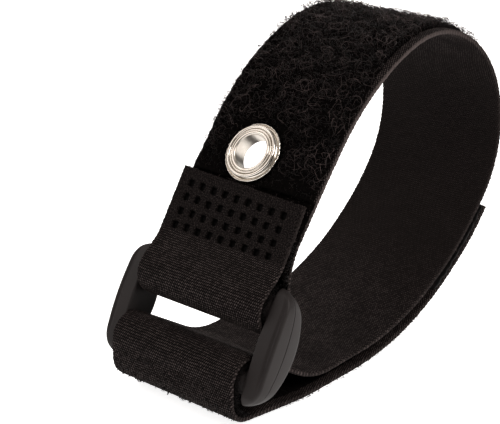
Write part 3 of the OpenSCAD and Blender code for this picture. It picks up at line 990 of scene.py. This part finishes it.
def arm_section(v):
    """Outline of an arm at height v: (x, back) points round a rectangle with soft corners."""
    reach = abs(v) / ARM_HALF_H
    back_r = (ARM_HALF_H ** 2 + ARM_BACK ** 2) / (2 * ARM_BACK)
    front = -ARM_FRONT + v * v / 120
    back = ARM_BACK - back_r + math.sqrt(back_r ** 2 - v * v)
    close = math.sqrt(max(0.0, 1 - (max(0.0, abs(v) - ARM_HALF_H + END_R) / END_R) ** 2))
    middle, half = (front + back) / 2, (back - front) / 2 * (0.06 + 0.94 * close)
    past = max(0.0, abs(v) - (ARM_HALF_H - CORNER_R))
    round_off = CORNER_R - math.sqrt(max(0.0, CORNER_R ** 2 - past ** 2))
    outer = SLOT_HALF + ARM_W - 0.35 * reach ** 2 - round_off * 0.86
    inner = SLOT_HALF + 0.3 * (1 - close)
    front, back = middle - half, middle + half
    soft = [min(r, 0.46 * (outer - inner), 0.48 * (back - front)) for r in EDGE_RS]
    corners = [(inner, front, 1, 1), (outer, front, -1, 1), (outer, back, -1, -1), (inner, back, 1, -1)]
    angles = [(180, 270), (270, 360), (0, 90), (90, 180)]
    sides = [np.linspace(0, 1, 16)[1:-1], np.sort(np.append(np.linspace(0, 1, 22)[1:-1], PARTING_FRACTIONS)),
             np.linspace(0, 1, 5)[1:-1], np.linspace(0, 1, 8)[1:-1]]
    ends = [arc((x + sx * r, u + su * r), r, a0, a1, 7)
            for (x, u, sx, su), (a0, a1), r in zip(corners, angles, soft)]
    outline = []
    window = smooth_step((v + 7.6) / 4.0) * smooth_step((8.6 - v) / 2.0)
    for number, points in enumerate(ends):
        outline += points
        (x0, u0), (x1, u1) = points[-1], ends[(number + 1) % 4][0]
        for f in sides[number]:
            x, u = x0 + f * (x1 - x0), u0 + f * (u1 - u0)
            if number == 0:
                u += CREASE_DEPTH * window * math.exp(-((f - CREASE) / CREASE_W) ** 2)
            if number == 1:
                x += 0.12 * math.sin(math.pi * f) * close
                x -= PARTING_DEPTH * close * max(0.0, 1 - abs(f - PARTING) / PARTING_W)
            outline.append((x, u))
    return outline


def buckle_arm(side):
    """One arm as a closed tube. side is 1 for the near arm and -1 for the far one."""
    heights = ARM_HALF_H * np.sin(np.linspace(-np.pi / 2, np.pi / 2, 84))
    rows = np.array([arm_section(v) for v in heights])
    ups = np.repeat(heights[:, None], rows.shape[1], 1)
    return closed_tube(buckle_place(side * rows[..., 0], rows[..., 1], ups), side < 0)


def buckle_bar(centre_up):
    """One bar as a closed tube, a little thinner where it runs into the arms."""
    x = (SLOT_HALF + 0.9) * np.sin(np.linspace(-np.pi / 2, np.pi / 2, 40))
    thick = BAR_R - 0.42 * smooth_step((np.abs(x) - (SLOT_HALF - 1.3)) / 0.8)
    angle = np.linspace(0, 2 * np.pi, 48, endpoint=False)
    xs, angles = np.meshgrid(x, angle, indexing="ij")
    ups = centre_up + thick[:, None] * np.sin(angles)
    return closed_tube(buckle_place(xs, thick[:, None] * np.cos(angles), ups), True)


def make_buckle():
    half = np.linalg.norm(BAR_TOP - BAR_LOW) / 2
    solids = [buckle_arm(1), buckle_arm(-1), buckle_bar(half), buckle_bar(-half)]
    shift = np.cumsum([0] + [len(s[0]) for s in solids[:-1]])
    points = np.vstack([s[0] for s in solids])
    quads = np.vstack([s[1] + d for s, d in zip(solids, shift)])
    tris = np.vstack([s[2] + d for s, d in zip(solids, shift)])
    piece = add_mesh("ring_buckle", points, quads, tris)
    piece.data.materials.append(PLASTIC)
    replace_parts(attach(piece, "buckle"), "buckle_frame")


# ---------------------------------------------------------------- weld nuggets
def make_welds():
    """Fused spots at the bottom of the pits, from the flap down to the band."""
    points, quads, k = [], [], 7
    span = np.linspace(-1, 1, k)
    for x in WELD_XS:
        for run in WELD_RUNS:
            a, b = np.meshgrid(span, span, indexing="ij")
            fall = np.maximum(np.abs(a), np.abs(b))
            rough = 0.02 * wobble(a * 3 + x, b * 3 + run, seed=12)
            top = -HALF_T + WELD_DEPTH + 0.13 + 0.10 * fall ** 2 + rough
            s, across = run + a * WELD_W * 0.62, x + b * WELD_W * 0.54
            low = np.full_like(top, HALF_T + 0.2)
            base = sum(len(p) for p in points)
            points += [place(s, across, top), place(s, across, low)]
            i, j = np.meshgrid(np.arange(k - 1), np.arange(k - 1), indexing="ij")
            upper = ((i * k + j)[..., None] + np.array([0, 1, k + 1, k])).reshape(-1, 4)
            lower = upper[:, ::-1] + k * k
            rim = open_rim(upper)
            walls = np.column_stack([rim[:, 1], rim[:, 0], rim[:, 0] + k * k, rim[:, 1] + k * k])
            quads.append(np.vstack([upper, lower, walls]) + base)
    piece = add_mesh("weld_nuggets", np.vstack(points), np.vstack(quads))
    piece.data.materials.append(FUSED)
    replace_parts(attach(piece, "band"), "weld_spots")


make_camera()
make_studio()
make_band()
make_fold()
make_tail()
make_eyelet()
make_buckle()
make_welds()
make_fuzz()
make_hooks()

bpy.context.view_layer.update()
